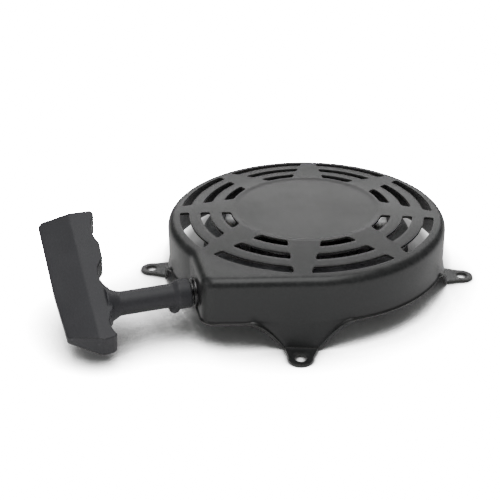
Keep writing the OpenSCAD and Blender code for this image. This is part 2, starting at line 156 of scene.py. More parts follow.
def table_top(size=6.0):
    mesh = bpy.data.meshes.new("table")
    corners = [(-size, -size), (size, -size), (size, size), (-size, size)]
    mesh.from_pydata([(x, y, -0.0002) for x, y in corners], [], [(0, 1, 2, 3)])
    made = bpy.data.objects.new("table", mesh)
    scene.collection.objects.link(made)
    white = flat_colour("table_white", (0.9, 0.9, 0.9), 0.9)
    tree = white.node_tree
    shader, seen = tree.nodes["Principled BSDF"], tree.nodes.new("ShaderNodeLightPath")
    cover = node(tree, "ShaderNodeAmbientOcclusion", Distance=SHADE_REACH)
    cover.samples = 32
    place = node(tree, "ShaderNodeNewGeometry")
    oval = node(tree, "ShaderNodeVectorMath", operation="MULTIPLY")
    tree.links.new(place.outputs["Position"], oval.inputs[0])
    oval.inputs[1].default_value = SHADOW_SQUEEZE
    away = node(tree, "ShaderNodeVectorMath", operation="DISTANCE")
    tree.links.new(oval.outputs["Vector"], away.inputs[0])
    away.inputs[1].default_value = SHADOW_HEART
    cast = remap(tree, away.outputs["Value"], *SHADOW_EDGE, SHADOW_FLOOR, 1.0)
    open_air = maths(tree, "MULTIPLY", remap(tree, cover.outputs["AO"], *SHADE_SPAN), cast)
    fringe = maths(tree, "MULTIPLY", maths(tree, "POWER", open_air, 3.0), TABLE_GLOW)
    glow = maths(tree, "MULTIPLY", seen.outputs["Is Camera Ray"], fringe)
    near = mix_colour(tree, open_air, (0.12, 0.12, 0.12, 1), (0.97, 0.97, 0.97, 1))
    pale = mix_colour(tree, seen.outputs["Is Camera Ray"], (0.5, 0.5, 0.5, 1), near)
    tree.links.new(pale, shader.inputs["Base Color"])
    shader.inputs["Emission Color"].default_value = (1, 1, 1, 1)
    tree.links.new(glow, shader.inputs["Emission Strength"])
    mesh.materials.append(white)
    return made


def studio_sky(all_round, in_gloss):
    """Bright all round, but darker where glossy paint mirrors it, as in a tent with open sides."""
    sky = bpy.data.worlds.new("studio")
    sky.use_nodes = True
    tree = sky.node_tree
    back = tree.nodes["Background"]
    seen = tree.nodes.new("ShaderNodeLightPath")
    change = maths(tree, "MULTIPLY", seen.outputs["Is Glossy Ray"], in_gloss - all_round)
    tree.links.new(maths(tree, "ADD", change, all_round), back.inputs["Strength"])
    back.inputs["Color"].default_value = (1, 1, 1, 1)
    scene.world = sky


# How strongly the table glows, how far the part shades it, and which occlusion counts
TABLE_GLOW, SHADE_REACH, SHADE_SPAN = 40.0, 0.07, (0.45, 0.98)
# The oval patch: its middle, how much narrower it is along X, and where its edge fades
SHADOW_HEART, SHADOW_SQUEEZE = (0, 0.035, 0), (1.25, 1, 1)
SHADOW_EDGE, SHADOW_FLOOR = (0.100, 0.120), 0.08
table_top()
studio_sky(1.6, 0.07)
soft_light("overhead", (0.0, -0.25, 1.3), (0, 0, 0), 0.9, 1.2, 11)
soft_light("high_behind", (0.0, 1.05, 1.1), (0, 0, 0.03), 1.6, 0.7, 5)
soft_light("behind", (0.0, 1.9, 0.75), (0, 0, 0.03), 2.2, 0.35, 8)
soft_light("left", (-1.2, -0.5, 0.6), (0, 0, 0), 0.5, 0.7, 1.5)
print("camera is", round((eye - aim).length, 3), "m from what it looks at")

# %% [markdown]
# ## Finishes
# Worn edges, fine grain, dust and lathe lines turn up on several parts. Each is a node group
# with named sockets, so every material places it with its own values. The Principled shader
# stays in each material, with its constant numbers typed straight onto its sockets.


# %% Shared effects
def effect(name, wants, gives):
    """A node group with its sockets; returns the group, its input node and its output node."""
    group = bpy.data.node_groups.new(name, "ShaderNodeTree")
    for label, kind, value in wants:
        spot = group.interface.new_socket(name=label, in_out="INPUT", socket_type=kind)
        if value is not None:
            spot.default_value = value
    for label, kind in gives:
        group.interface.new_socket(name=label, in_out="OUTPUT", socket_type=kind)
    start = group.nodes.new("NodeGroupInput")
    end = group.nodes.new("NodeGroupOutput")
    return group, start, end


NUMBER = "NodeSocketFloat"


def make_fine_grain():
    group, start, end = effect(
        "fine_grain",
        [("Size", NUMBER, 900.0), ("Patch Size", NUMBER, 40.0)],
        [("Height", NUMBER), ("Patches", NUMBER)],
    )
    place = group.nodes.new("ShaderNodeTexCoord")
    small = node(group, "ShaderNodeTexNoise", Vector=place.outputs["Object"], Detail=3.0)
    group.links.new(start.outputs["Size"], small.inputs["Scale"])
    large = node(group, "ShaderNodeTexNoise", Vector=place.outputs["Object"], Detail=4.0)
    group.links.new(start.outputs["Patch Size"], large.inputs["Scale"])
    group.links.new(small.outputs[0], end.inputs["Height"])
    group.links.new(remap(group, large.outputs[0], 0.35, 0.65), end.inputs["Patches"])
    return group


def make_edge_wear():
    group, start, end = effect(
        "edge_wear",
        [("Reach", NUMBER, 0.06), ("Break Up", NUMBER, 300.0)],
        [("Mask", NUMBER)],
    )
    shape = group.nodes.new("ShaderNodeNewGeometry")
    place = group.nodes.new("ShaderNodeTexCoord")
    rough = node(group, "ShaderNodeTexNoise", Vector=place.outputs["Object"], Detail=5.0)
    group.links.new(start.outputs["Break Up"], rough.inputs["Scale"])
    sharp = maths(group, "SUBTRACT", shape.outputs["Pointiness"], 0.5)
    near = maths(group, "DIVIDE", sharp, start.outputs["Reach"], clamp=True)
    patchy = remap(group, rough.outputs[0], 0.42, 0.62)
    group.links.new(maths(group, "MULTIPLY", near, patchy, clamp=True), end.inputs["Mask"])
    return group


def make_dust():
    group, start, end = effect(
        "dust", [("Amount", NUMBER, 0.3), ("Speck Size", NUMBER, 220.0)], [("Mask", NUMBER)]
    )
    shape = group.nodes.new("ShaderNodeNewGeometry")
    parts = node(group, "ShaderNodeSeparateXYZ", Vector=shape.outputs["Normal"])
    place = group.nodes.new("ShaderNodeTexCoord")
    cloud = node(group, "ShaderNodeTexNoise", Vector=place.outputs["Object"], Detail=6.0)
    group.links.new(start.outputs["Speck Size"], cloud.inputs["Scale"])
    level = remap(group, parts.outputs["Z"], 0.2, 1.0)
    lying = maths(group, "MULTIPLY", level, remap(group, cloud.outputs[0], 0.45, 0.8))
    scaled = maths(group, "MULTIPLY", lying, start.outputs["Amount"], clamp=True)
    group.links.new(scaled, end.inputs["Mask"])
    return group


def make_lathe_lines():
    group, start, end = effect(
        "lathe_lines", [("Lines", NUMBER, 2600.0)], [("Height", NUMBER), ("Streaks", NUMBER)]
    )
    place = group.nodes.new("ShaderNodeTexCoord")
    parts = node(group, "ShaderNodeSeparateXYZ", Vector=place.outputs["Object"])
    squares = [maths(group, "POWER", parts.outputs[k], 2.0) for k in "XY"]
    radius = maths(group, "SQRT", maths(group, "ADD", *squares))
    along = node(group, "ShaderNodeCombineXYZ")
    group.links.new(radius, along.inputs["X"])
    group.links.new(parts.outputs["Z"], along.inputs["Y"])
    rings = node(group, "ShaderNodeTexNoise", Vector=along.outputs[0], Detail=2.0)
    group.links.new(start.outputs["Lines"], rings.inputs["Scale"])
    group.links.new(rings.outputs[0], end.inputs["Height"])
    group.links.new(remap(group, rings.outputs[0], 0.3, 0.7), end.inputs["Streaks"])
    return group


EFFECTS = {
    "grain": make_fine_grain(),
    "wear": make_edge_wear(),
    "dust": make_dust(),
    "lathe": make_lathe_lines(),
}
print("shared effects:", ", ".join(EFFECTS))


# %% What every finish is made of
def place_effect(tree, name, **values):
    made = tree.nodes.new("ShaderNodeGroup")
    made.node_tree = EFFECTS[name]
    for label, value in values.items():
        made.inputs[label.replace("_", " ").title()].default_value = value
    return made


def new_finish(name, roughness, **constants):
    """A material with its Principled shader; constants are typed onto the shader's sockets."""
    made = bpy.data.materials.new(name)
    made.use_nodes = True
    shader = made.node_tree.nodes["Principled BSDF"]
    shader.inputs["Roughness"].default_value = roughness
    for label, value in constants.items():
        shader.inputs[label.replace("_", " ")].default_value = value
    return made, made.node_tree, shader


def relief(tree, shader, height, depth, strength=1.0):
    bump = node(tree, "ShaderNodeBump", Strength=strength, Distance=depth)
    tree.links.new(height, bump.inputs["Height"])
    tree.links.new(bump.outputs[0], shader.inputs["Normal"])


# %% [markdown]
# Satin black paint on pressed steel: nearly black, with a fine orange-peel surface, a little
# pale dust on what faces up, and a hint of grey where handling has rubbed the edges.


# %% Housing paint
def housing_paint():
    made, tree, shader = new_finish("housing_paint", 0.36, Specular_IOR_Level=0.5)
    grain = place_effect(tree, "grain", size=1500.0, patch_size=26.0)
    wear = place_effect(tree, "wear", reach=0.09, break_up=500.0)
    dust = place_effect(tree, "dust", amount=0.22, speck_size=160.0)
    dark, pale = (0.0075, 0.008, 0.008, 1), (0.0095, 0.010, 0.010, 1)
    body = mix_colour(tree, grain.outputs["Patches"], dark, pale)
    dusty = mix_colour(tree, dust.outputs["Mask"], body, (0.04, 0.041, 0.04, 1))
    rubbed = maths(tree, "MULTIPLY", wear.outputs["Mask"], 0.35)
    tree.links.new(mix_colour(tree, rubbed, dusty, (0.07, 0.07, 0.07, 1)), shader.inputs["Base Color"])
    sheen = remap(tree, grain.outputs["Patches"], 0, 1, 0.33, 0.4)
    duller = maths(tree, "MULTIPLY", dust.outputs["Mask"], 0.25)
    tree.links.new(maths(tree, "ADD", sheen, duller), shader.inputs["Roughness"])
    relief(tree, shader, grain.outputs["Height"], 0.00004, 0.6)
    return made


# %% [markdown]
# The grip is charcoal plastic from a grained mould: a leather-like fine texture, broad soft
# highlights, and slightly polished where fingers pull.


# %% Grip plastic
def grip_plastic():
    made, tree, shader = new_finish("grip_plastic", 0.55)
    place = tree.nodes.new("ShaderNodeTexCoord")
    cells = node(tree, "ShaderNodeTexVoronoi", Vector=place.outputs["Object"], Scale=1100.0)
    grain = place_effect(tree, "grain", size=2200.0, patch_size=30.0)
    wear = place_effect(tree, "wear", reach=0.10, break_up=260.0)
    body = mix_colour(tree, grain.outputs["Patches"], (0.014, 0.014, 0.017, 1), (0.018, 0.018, 0.021, 1))
    rubbed = maths(tree, "MULTIPLY", wear.outputs["Mask"], 0.55)
    tree.links.new(mix_colour(tree, rubbed, body, (0.06, 0.06, 0.066, 1)), shader.inputs["Base Color"])
    tree.links.new(remap(tree, grain.outputs["Patches"], 0, 1, 0.5, 0.62), shader.inputs["Roughness"])
    fine = maths(tree, "MULTIPLY", grain.outputs["Height"], 0.5)
    relief(tree, shader, maths(tree, "ADD", cells.outputs["Distance"], fine), 0.00008, 0.55)
    return made


# %% [markdown]
# Bare metals share one recipe: a lathe-line relief, a roughness that follows the streaks, and
# a slow tint. Only the colour and the amounts differ between steel, zinc and hardened parts.


# %% Metals
def metal(name, colour, tint, rough, lines=2600.0, depth=0.00002):
    made, tree, shader = new_finish(name, rough, Metallic=1.0)
    lathe = place_effect(tree, "lathe", lines=lines)
    grain = place_effect(tree, "grain", size=700.0, patch_size=60.0)
    body = mix_colour(tree, grain.outputs["Patches"], (*colour, 1), (*tint, 1))
    tree.links.new(body, shader.inputs["Base Color"])
    gloss = remap(tree, lathe.outputs["Streaks"], 0, 1, rough - 0.06, rough + 0.1)
    tree.links.new(gloss, shader.inputs["Roughness"])
    relief(tree, shader, lathe.outputs["Height"], depth, 0.5)
    return made


# %% [markdown]
# Moulded nylon and pressed fibre are dull and slightly cloudy.


# %% Plastics of the inside
def dull_plastic(name, colour, tint, rough, grain_size=800.0):
    made, tree, shader = new_finish(name, rough)
    grain = place_effect(tree, "grain", size=grain_size, patch_size=55.0)
    wear = place_effect(tree, "wear", reach=0.08, break_up=300.0)
    body = mix_colour(tree, grain.outputs["Patches"], (*colour, 1), (*tint, 1))
    pale = tuple(min(1, c * 3 + 0.05) for c in tint)
    rubbed = maths(tree, "MULTIPLY", wear.outputs["Mask"], 0.3)
    tree.links.new(mix_colour(tree, rubbed, body, (*pale, 1)), shader.inputs["Base Color"])
    gloss = remap(tree, grain.outputs["Patches"], 0, 1, rough - 0.05, rough + 0.06)
    tree.links.new(gloss, shader.inputs["Roughness"])
    relief(tree, shader, grain.outputs["Height"], 0.00005, 0.4)
    return made


# %% [markdown]
# The rope is black braided nylon. Two crossing sets of bands in the object's own space make
# the plait, both its relief and its painted shade in the grooves; they don't stretch with the
# mesh, so the plait keeps its size when the rope is pulled out.


# %% Braided rope
def braid():
    made, tree, shader = new_finish("rope_braid", 0.8, Sheen_Weight=0.25, Sheen_Roughness=0.5)
    place = tree.nodes.new("ShaderNodeTexCoord")
    bands = []
    for direction in ((1, 1, 1.3), (1, 1, -1.3)):
        turned = node(tree, "ShaderNodeVectorMath", operation="MULTIPLY")
        tree.links.new(place.outputs["Object"], turned.inputs[0])
        turned.inputs[1].default_value = direction
        wave = node(tree, "ShaderNodeTexWave", Scale=150.0, Distortion=0.6, Detail=1.0)
        wave.bands_direction = "DIAGONAL"
        tree.links.new(turned.outputs[0], wave.inputs["Vector"])
        bands.append(wave.outputs["Fac"])
    plait = maths(tree, "MULTIPLY", *bands)
    grain = place_effect(tree, "grain", size=2500.0, patch_size=80.0)
    # Painted shade: the black strands are paler where the plait stands up and darker in the grooves
    # between them.
    dark, pale = (0.008, 0.008, 0.008, 1), (0.05, 0.05, 0.052, 1)
    strands_with_painted_groove_shade = mix_colour(tree, remap(tree, plait, 0.0, 0.7), dark, pale)
    tree.links.new(strands_with_painted_groove_shade, shader.inputs["Base Color"])
    fuzz = maths(tree, "MULTIPLY", grain.outputs["Height"], 0.3)
    relief(tree, shader, maths(tree, "ADD", plait, fuzz), 0.0005, 0.8)
    return made


FINISH = {
    "housing_paint": housing_paint(),
    "grip_plastic": grip_plastic(),
    "eyelet_metal": metal("eyelet_metal", (0.12, 0.12, 0.12), (0.05, 0.05, 0.05), 0.30, 900.0),
    "bright_steel": metal("bright_steel", (0.55, 0.55, 0.54), (0.47, 0.47, 0.47), 0.28),
    "zinc": metal("zinc", (0.62, 0.62, 0.60), (0.52, 0.53, 0.55), 0.34, 500.0),
    "spring_steel": metal("spring_steel", (0.20, 0.20, 0.23), (0.13, 0.14, 0.18), 0.30, 1800.0),
    "hard_steel": metal("hard_steel", (0.35, 0.34, 0.33), (0.25, 0.24, 0.24), 0.42, 400.0),
    "reel_plastic": dull_plastic("reel_plastic", (0.022, 0.022, 0.024), (0.03, 0.03, 0.032), 0.5),
    "fibre": dull_plastic("fibre", (0.28, 0.15, 0.07), (0.34, 0.19, 0.10), 0.8, 500.0),
    "rope": braid(),
}
print("finishes:", ", ".join(FINISH))


# %% Give every CAD node its finish
for part in frame["record"]["subparts"]:
    cad_object = frame["nodes"][part["node"]]
    cad_object.data.materials.clear()
    cad_object.data.materials.append(FINISH[part["material_slot"]])
    for face in cad_object.data.polygons:
        face.material_index = 0
print(len(frame["nodes"]), "CAD nodes have a finish")

# %% [markdown]
# ## The pressed housing
# On the real part this is one disc of sheet steel: a shallow dome, rings of slots, a rounded
# shoulder, a wall with a flared lip, and four legs that run down to the feet. It could be
# boxed out and subdivided, but the slots would fight the subdivision. Here the skin is a
# grid: columns run outwards from the middle, rows run down the section, and cells are left
# out where a slot is. Solidify then gives the sheet its thickness and Bevel softens its edges.

# %% Sizes of the pressing, in millimetres
SHEET, PAN_R, SHOULDER, LIP = 1.4, 85.5, 5.5, 1.1
TOP_Z, SHOULDER_Z, BEND_Z, WALL_Z = 46.6, 43.3, 37.8, 16.0
# The wall's lowest row of points; the flared lip takes up the rest
LOW_Z = WALL_Z + 1.6
RECESS_R, CREST_R, CREST_Z, DOME_EDGE = 42.5, 45.8, 47.1, 79.0
VENTS = [(46.6, 52.4), (59.4, 65.2), (72.2, 78.0)]
SPOKES, SPOKE_IN, SPOKE_OUT = 8, 10.0, 4.7
EXIT_AZ, EXIT_D, FRONT_AZ, CORNER_R, BLEND_R = 197.0, 78.5, 275.0, 9.0, 11.0
FOOT_W, FOLD_W, FOLD_R, BOLT_R, BOLT_HOLE = 6.8, 9.0, 88.0, 99.0, 3.4
# Half the angle of a leg where it grows out of the wall; beside the rope exit it is narrower
LEG_ANGLE, EXIT_LEG_ANGLE = 20.0, 18.0


def unit(azimuth):
    return Vector((math.cos(math.radians(azimuth)), math.sin(math.radians(azimuth))))


def side(azimuth):
    return Vector((-math.sin(math.radians(azimuth)), math.cos(math.radians(azimuth))))


# %% Outline of the wall: round, then a hollow, a flat exit face, a corner and a straight front
EXIT_OUT, EXIT_ALONG = unit(EXIT_AZ), side(EXIT_AZ)
FRONT_OUT, FRONT_D = unit(FRONT_AZ), PAN_R - 0.1
TURN = math.radians(FRONT_AZ - EXIT_AZ)
CORNER_Y = ((FRONT_D - CORNER_R) - (EXIT_D - CORNER_R) * math.cos(TURN)) / math.sin(TURN)
CORNER = EXIT_OUT * (EXIT_D - CORNER_R) + EXIT_ALONG * CORNER_Y
HOLLOW_Y = math.sqrt((PAN_R + BLEND_R) ** 2 - (EXIT_D + BLEND_R) ** 2)
HOLLOW = EXIT_OUT * (EXIT_D + BLEND_R) + EXIT_ALONG * HOLLOW_Y
SPOKE_A = math.degrees(math.asin(SPOKE_OUT / PAN_R))
NIP = 0.9


def azimuth_of(p):
    return math.degrees(math.atan2(p[1], p[0])) % 360


HOLLOW_FROM, HOLLOW_TO = azimuth_of(HOLLOW), azimuth_of(EXIT_OUT * EXIT_D + EXIT_ALONG * HOLLOW_Y)
CORNER_FROM = azimuth_of(EXIT_OUT * EXIT_D + EXIT_ALONG * CORNER_Y)
CORNER_TO = azimuth_of(CORNER + FRONT_OUT * CORNER_R)


def rim_at(azimuth):
    """The wall's outer face at an azimuth, and the direction it faces."""
    ray = unit(azimuth)
    if HOLLOW_FROM < azimuth < HOLLOW_TO or CORNER_FROM < azimuth < CORNER_TO:
        middle, radius, sign = (HOLLOW, BLEND_R, -1) if azimuth < HOLLOW_TO else (CORNER, CORNER_R, 1)
        along = ray.dot(middle)
        reach = along + sign * math.sqrt(max(0, radius**2 - (middle.length_squared - along**2)))
        return ray * reach, (ray * reach - middle).normalized() * sign
    if HOLLOW_TO <= azimuth <= CORNER_FROM:
        return ray * (EXIT_D / ray.dot(EXIT_OUT)), EXIT_OUT
    if CORNER_TO <= azimuth < FRONT_AZ:
        return ray * (FRONT_D / ray.dot(FRONT_OUT)), FRONT_OUT
    return ray * PAN_R, ray


# %% Columns: even steps, finer at the corner, exact at slot ends and legs
LEGS = [(azimuth, -LEG_ANGLE, LEG_ANGLE) for azimuth in (0, 90, 180)]
LEGS.append((270, -EXIT_LEG_ANGLE, LEG_ANGLE))


def column_azimuths():
    nip = math.degrees(NIP / PAN_R)
    exact = [45 * k + s * (SPOKE_A + t * nip) for k in range(SPOKES) for s in (-1, 1) for t in (-1, 0, 1)]
    exact += [centre + a for centre, *ends in LEGS for a in ends]
    even = [1.5 * k for k in range(240)]
    even += [HOLLOW_FROM + (HOLLOW_TO - HOLLOW_FROM) * k / 8 for k in range(9)]
    for k in range(15):
        even.append(azimuth_of(CORNER + unit(EXIT_AZ + (FRONT_AZ - EXIT_AZ) * k / 14) * CORNER_R))
    chosen = sorted(set(round(e % 360, 5) for e in exact))
    for azimuth in even:
        room = 0.22 if HOLLOW_FROM - 1 < azimuth < CORNER_TO + 1 else 0.5
        if all(abs((azimuth - c + 180) % 360 - 180) > room for c in chosen):
            chosen.append(azimuth)
    return sorted(chosen)


COLUMNS = column_azimuths()
print("columns round the housing:", len(COLUMNS))


# %% Where a column passes at each radius, and how high the dome is there
def spoke_edge(radius):
    """Half the angle that a spoke takes; spokes narrow on the way out."""
    share = min(1, max(0, (radius - 45.6) / (79.0 - 45.6)))
    return math.degrees(math.asin((SPOKE_IN + (SPOKE_OUT - SPOKE_IN) * share) / max(radius, 45.6)))


def warp(azimuth, radius):
    """Bends a column so that every slot end stays on its own column at every radius."""
    centre = 45 * round(azimuth / 45)
    off = abs(azimuth - centre)
    inner = spoke_edge(radius)
    small, small_in = math.degrees(NIP / PAN_R), math.degrees(NIP / max(radius, 30))
    stops = [(0, 0), (SPOKE_A - small, inner - small_in), (SPOKE_A, inner)]
    stops += [(SPOKE_A + small, inner + small_in), (22.5, 22.5)]
    for (a, b), (c, d) in zip(stops, stops[1:]):
        if off <= c + 1e-6:
            return centre + math.copysign(b + (d - b) * (off - a) / (c - a), azimuth - centre)
    return azimuth


def dome_height(radius):
    if radius <= RECESS_R:
        return TOP_Z
    if radius <= CREST_R:
        rise = (radius - RECESS_R) / (CREST_R - RECESS_R)
        return TOP_Z + (CREST_Z - TOP_Z) * rise * rise * (3 - 2 * rise)
    fall = (radius - CREST_R) / (PAN_R - SHOULDER - CREST_R)
    return CREST_Z - (CREST_Z - SHOULDER_Z) * fall**1.15


# %% The skin of the top and the wall
def in_slot(azimuth):
    return abs(azimuth - 45 * round(azimuth / 45)) > SPOKE_A + 1e-4


def grow_skin(bm):
    """Rows of vertices from the middle out and down; returns the lowest row."""
    radii = [9, 20, 31, 38, 41.4, 42.5, 43.6, 44.7, 45.8]
    for low, high in VENTS:
        radii += [low, low + NIP, (low + high) / 2, high - NIP, high, high + 2.3, high + 4.6]
    radii = radii[:-2] + [DOME_EDGE]
    rows = [[bm.verts.new((*(unit(warp(a, r)) * r), dome_height(r))) for a in COLUMNS] for r in radii]
    count = len(COLUMNS)
    middle = bm.verts.new((0, 0, TOP_Z))
    for k in range(count):
        bm.faces.new((middle, rows[0][k], rows[0][(k + 1) % count]))
    rims = [rim_at(a) for a in COLUMNS]
    edge = len(rows)
    for share in (0.5, 1.0):
        row = []
        for (p, out), v in zip(rims, rows[edge - 1]):
            inset = (p - out * SHOULDER).to_3d() + Vector((0, 0, SHOULDER_Z))
            row.append(bm.verts.new(v.co.lerp(inset, share)))
        rows.append(row)
    for k in range(1, 8):
        tilt = math.radians(90 * k / 7)
        sink = BEND_Z + SHOULDER * math.cos(tilt)
        rows.append([bm.verts.new((*(p - o * SHOULDER * (1 - math.sin(tilt))), sink)) for p, o in rims])
    for z in (31.0, 24.0, LOW_Z):
        rows.append([bm.verts.new((*p, z)) for p, o in rims])
    slots = 0
    for i in range(len(rows) - 1):
        slot = next((v for v in VENTS if i + 1 < edge and v[0] - 0.01 < radii[i] < v[1] - 0.01), None)
        for k in range(count):
            n = (k + 1) % count
            quad = (rows[i][k], rows[i + 1][k], rows[i + 1][n], rows[i][n])
            here, there = COLUMNS[k], COLUMNS[n] if n else 360.0
            if not (slot and (in_slot(here) or in_slot(there))):
                bm.faces.new(quad)
                continue
            first, last = not in_slot(here), not in_slot(there)
            inner, outer = abs(radii[i] - slot[0]) < 0.01, abs(radii[i + 1] - slot[1]) < 0.01
            if (first or last) and (inner or outer):
                a, b, c, d = quad
                nips = {(1, 1): (a, b, d), (1, 0): (a, b, c), (0, 1): (a, c, d), (0, 0): (b, c, d)}
                bm.faces.new(nips[(int(first), int(inner))])
                slots += 1
    print("skin:", len(rows), "rows;", slots // 4, "slots")
    return rows[-1], rims


# %% [markdown]
# The four legs grow out of the wall's lowest row. Seen from above each one is a triangle
# whose sides run from the wall to the foot; its middle goes straight down while its sides
# leave the lip slowly. A narrow flange follows the whole edge: along the wall it is the
# flared lip, and down the legs it is the rolled edge that catches the light.


# %% Legs, feet and the flange
# Powers by which a leg falls from the wall to its fold, in its middle and added at its sides
FALL_MIDDLE, FALL_SIDES = 0.92, 0.9
# A leg's flange in two steps: how far each stands out, and how far it turns away from the leg
FLANGE_STEPS = ((0.8, 0.6), (2.0, 0.9))


def leg_point(start, end, share, width):
    """A point of a leg; its sides come away from the lip slowly, its middle goes straight down."""
    p = start.lerp(end, share)
    fall = share ** (FALL_MIDDLE + FALL_SIDES * abs(width) ** 3)
    return Vector((*p, LOW_Z + (SHEET - LOW_Z) * fall))


def strip(bm, one, other):
    for k in range(len(one) - 1):
        bm.faces.new((one[k], other[k], other[k + 1], one[k + 1]))


def leg(bm, low_row, rims, centre, ends, flange):
    first, last = (COLUMNS.index(round((centre + a) % 360, 5)) for a in ends)
    count = len(COLUMNS)
    picked = [(first + k) % count for k in range((last - first) % count + 1)]
    out, along = unit(centre), side(centre)
    rows, steps = [[low_row[k] for k in picked]], 12
    for i in range(1, steps + 1):
        share, row = i / steps, []
        for n, k in enumerate(picked):
            width = 2 * n / (len(picked) - 1) - 1
            foot = out * (FOLD_R + 0.6) + along * width * FOLD_W
            row.append(bm.verts.new(leg_point(rims[k][0], foot, share, width)))
        rows.append(row)
        strip(bm, rows[-2], row)
    for edge, sign in ((0, -1), (-1, 1)):
        path = [row[edge] for row in rows]
        k = picked[edge]
        ribs = [flange[k]]
        for i in range(1, len(path)):
            run = (path[min(i + 1, len(path) - 1)].co - path[i - 1].co).normalized()
            share = i / steps
            face = Vector((*path[i].co.to_2d().normalized(), 0.45 * min(1, share * 3))).normalized()
            away = Vector((0, 0, -(1 - share))) + (along * sign * share).to_3d()
            q = run.cross(face)
            q = q.normalized() * (1 if q.dot(away) > 0 else -1)
            fade = 1 - 0.85 * share * share
            steps_out = [(face * a + q * b) * fade for a, b in FLANGE_STEPS]
            ribs.append([bm.verts.new(path[i].co + step) for step in steps_out])
        bend, tip = [r[0] for r in ribs], [r[1] for r in ribs]
        for one, other in ((path, bend), (bend, tip)):
            strip(bm, one, other) if sign > 0 else strip(bm, other, one)
    pad(bm, rows[-1], out, along)
    return picked


def pad(bm, fold, out, along):
    """The flat pad: a ring of quads between its outline and the bolt hole."""
    heart = out * BOLT_R
    outline = list(fold)
    sides = [(91.5, 8.5), (94.5, 7.6), (96.8, 7.0), (99.0, FOOT_W)]
    for x, y in sides:
        outline.append(bm.verts.new((*(out * x + along * y), SHEET)))
    for k in range(1, 16):
        turn = math.radians(90 - 180 * k / 16)
        ray = out * math.cos(turn) + along * math.sin(turn)
        outline.append(bm.verts.new((*(heart + ray * FOOT_W), SHEET)))
    for x, y in sides[::-1]:
        outline.append(bm.verts.new((*(out * x - along * y), SHEET)))
    loops = [outline]
    for share in (0.5, 1.0):
        loop = []
        for v in outline:
            reach = v.co.to_2d() - heart
            p = heart + reach.lerp(reach.normalized() * BOLT_HOLE, share)
            loop.append(bm.verts.new((*p, SHEET)))
        loops.append(loop)
    for one, other in zip(loops, loops[1:]):
        strip(bm, one + one[:1], other + other[:1])


def finish_object(name, bm, finish, smooth=True):
    """Turns a bmesh in millimetres into an object in metres with its finish."""
    bmesh.ops.recalc_face_normals(bm, faces=bm.faces)
    bmesh.ops.scale(bm, vec=(MM, MM, MM), verts=bm.verts)
    mesh = bpy.data.meshes.new(name)
    bm.to_mesh(mesh)
    bm.free()
    for face in mesh.polygons:
        face.use_smooth = smooth
    mesh.materials.append(FINISH[finish])
    made = bpy.data.objects.new(name, mesh)
    scene.collection.objects.link(made)
    return made


def apply_all(thing):
    """Replaces an object's mesh by the result of its modifiers."""
    bpy.context.view_layer.update()
    graph = bpy.context.evaluated_depsgraph_get()
    result = bpy.data.meshes.new_from_object(thing.evaluated_get(graph))
    thing.modifiers.clear()
    thing.data = result
    return result


# %% Press the housing
eyelet_low, eyelet_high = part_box("rope_eyelet")
eyelet_middle = (eyelet_low + eyelet_high) / 2
ROPE_Z = eyelet_middle.z / MM


def press_housing():
    bm = bmesh.new()
    low_row, rims = grow_skin(bm)
    flange = []
    for (p, out), v in zip(rims, low_row):
        bend = v.co + (out * 0.3).to_3d() + Vector((0, 0, -0.8))
        tip = v.co + (out * LIP).to_3d() + Vector((0, 0, -1.3))
        flange.append((bend, tip))
    busy = set()
    for centre, *ends in LEGS:
        first, last = (COLUMNS.index(round((centre + a) % 360, 5)) for a in ends)
        inside = [(first + k) % len(COLUMNS) for k in range(1, (last - first) % len(COLUMNS))]
        busy.update(inside)
    flange = [None if k in busy else [bm.verts.new(c) for c in pair] for k, pair in enumerate(flange)]
    for centre, *ends in LEGS:
        leg(bm, low_row, rims, centre, ends, flange)
    for k in range(len(COLUMNS)):
        n = (k + 1) % len(COLUMNS)
        if flange[k] and flange[n] and not (k in busy or n in busy):
            strip(bm, [low_row[k], low_row[n]], [flange[k][0], flange[n][0]])
            strip(bm, [flange[k][0], flange[n][0]], [flange[k][1], flange[n][1]])
    made = finish_object("housing_pressing", bm, "housing_paint")
    if made.data.polygons[0].normal.z < 0:
        made.data.flip_normals()
    sheet = made.modifiers.new("sheet", "SOLIDIFY")
    sheet.thickness, sheet.offset = SHEET * MM, -1
    soft = made.modifiers.new("soft", "BEVEL")
    soft.width, soft.segments, soft.limit_method = 0.3 * MM, 2, "ANGLE"
    soft.angle_limit = math.radians(50)
    apply_all(made)
    return made


def bore(thing, discs):
    """Cuts round holes with a boolean; discs are (centre, direction, radius, length) in mm."""
    for centre, way, radius, length in discs:
        bm = bmesh.new()
        bmesh.ops.create_cone(bm, cap_ends=True, segments=64, radius1=radius, radius2=radius, depth=length)
        bm.transform(Matrix.Translation(centre) @ way.to_track_quat("Z", "Y").to_matrix().to_4x4())
        cutter = finish_object("cutter", bm, "housing_paint", smooth=False)
        cut = thing.modifiers.new("cut", "BOOLEAN")
        cut.object, cut.operation, cut.solver = cutter, "DIFFERENCE", "EXACT"
        apply_all(thing)
        bpy.data.objects.remove(cutter)


housing = press_housing()
eyelet_face = Vector((eyelet_middle.x / MM, eyelet_middle.y / MM, ROPE_Z))
eyelet_face += EXIT_OUT.to_3d() * (EXIT_D - eyelet_face.to_2d().dot(EXIT_OUT))
wide = eyelet_face + EXIT_OUT.to_3d() * 1.52
bore(housing, [(eyelet_face, EXIT_OUT.to_3d(), 4.7, 8.0), (wide, EXIT_OUT.to_3d(), 8.85, 3.0)])
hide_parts("housing")
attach(housing, "housing")
print("housing:", len(housing.data.polygons), "faces")

# %% [markdown]
# ## The grip
# A moulded handle has no sharp edges and no seams where the stem meets the crossbar. Filleting
# each edge by hand would be slow. Instead the CAD solid and a few fillet webs are melted into
# one with Voxel Remesh, and a few rounds of smoothing round every edge alike.

